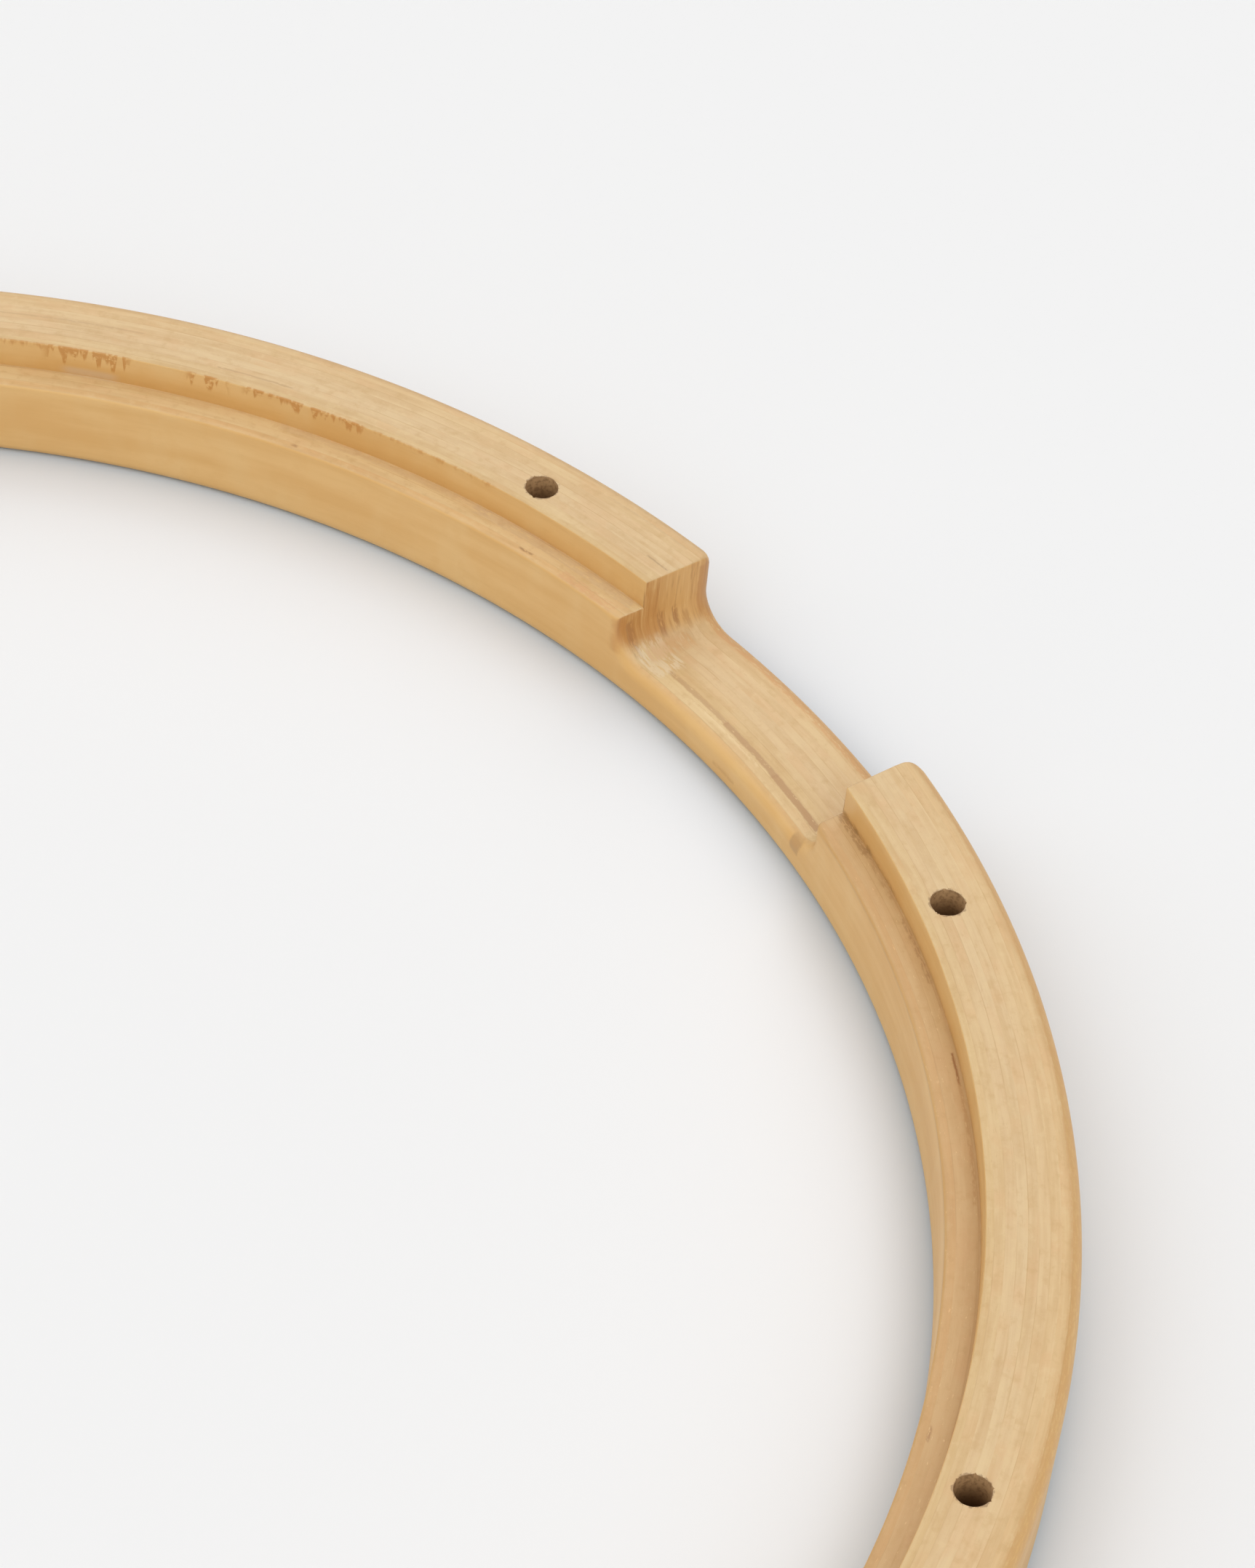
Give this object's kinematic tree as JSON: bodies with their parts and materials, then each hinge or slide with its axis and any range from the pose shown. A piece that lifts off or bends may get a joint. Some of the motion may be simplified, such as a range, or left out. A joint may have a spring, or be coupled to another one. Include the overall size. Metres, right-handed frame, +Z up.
{
  "type": "drum counterhoop",
  "caption": "Flat laminated maple ring with a step inside its upper edge for a drum head, plain holes for tension rods and notches that let the snares pass.",
  "frame": {"origin": "centre of the lower face, the flat playing-side face that the hoop lies on", "axes": "+Z up along the ring's axis, towards the stepped face that holds the head; +X through the middle of one snare gate and -X through the other"},
  "size_m": [0.406, 0.406, 0.0224],
  "materials": {
    "maple_outer_face": "satin",
    "maple_core": "satin",
    "maple_inner_face": "satin"
  },
  "bodies": {
    "root": {"ply_01_outer_face": "maple_outer_face", "ply_02": "maple_core", "ply_03": "maple_core", "ply_04": "maple_core", "ply_05": "maple_core", "ply_06": "maple_core", "ply_07": "maple_core", "ply_08": "maple_core", "ply_09_rabbet_wall": "maple_core", "ply_10_head_ledge": "maple_core", "ply_11_head_ledge": "maple_core", "ply_12_inner_face": "maple_inner_face"}
  },
  "joints": []
}
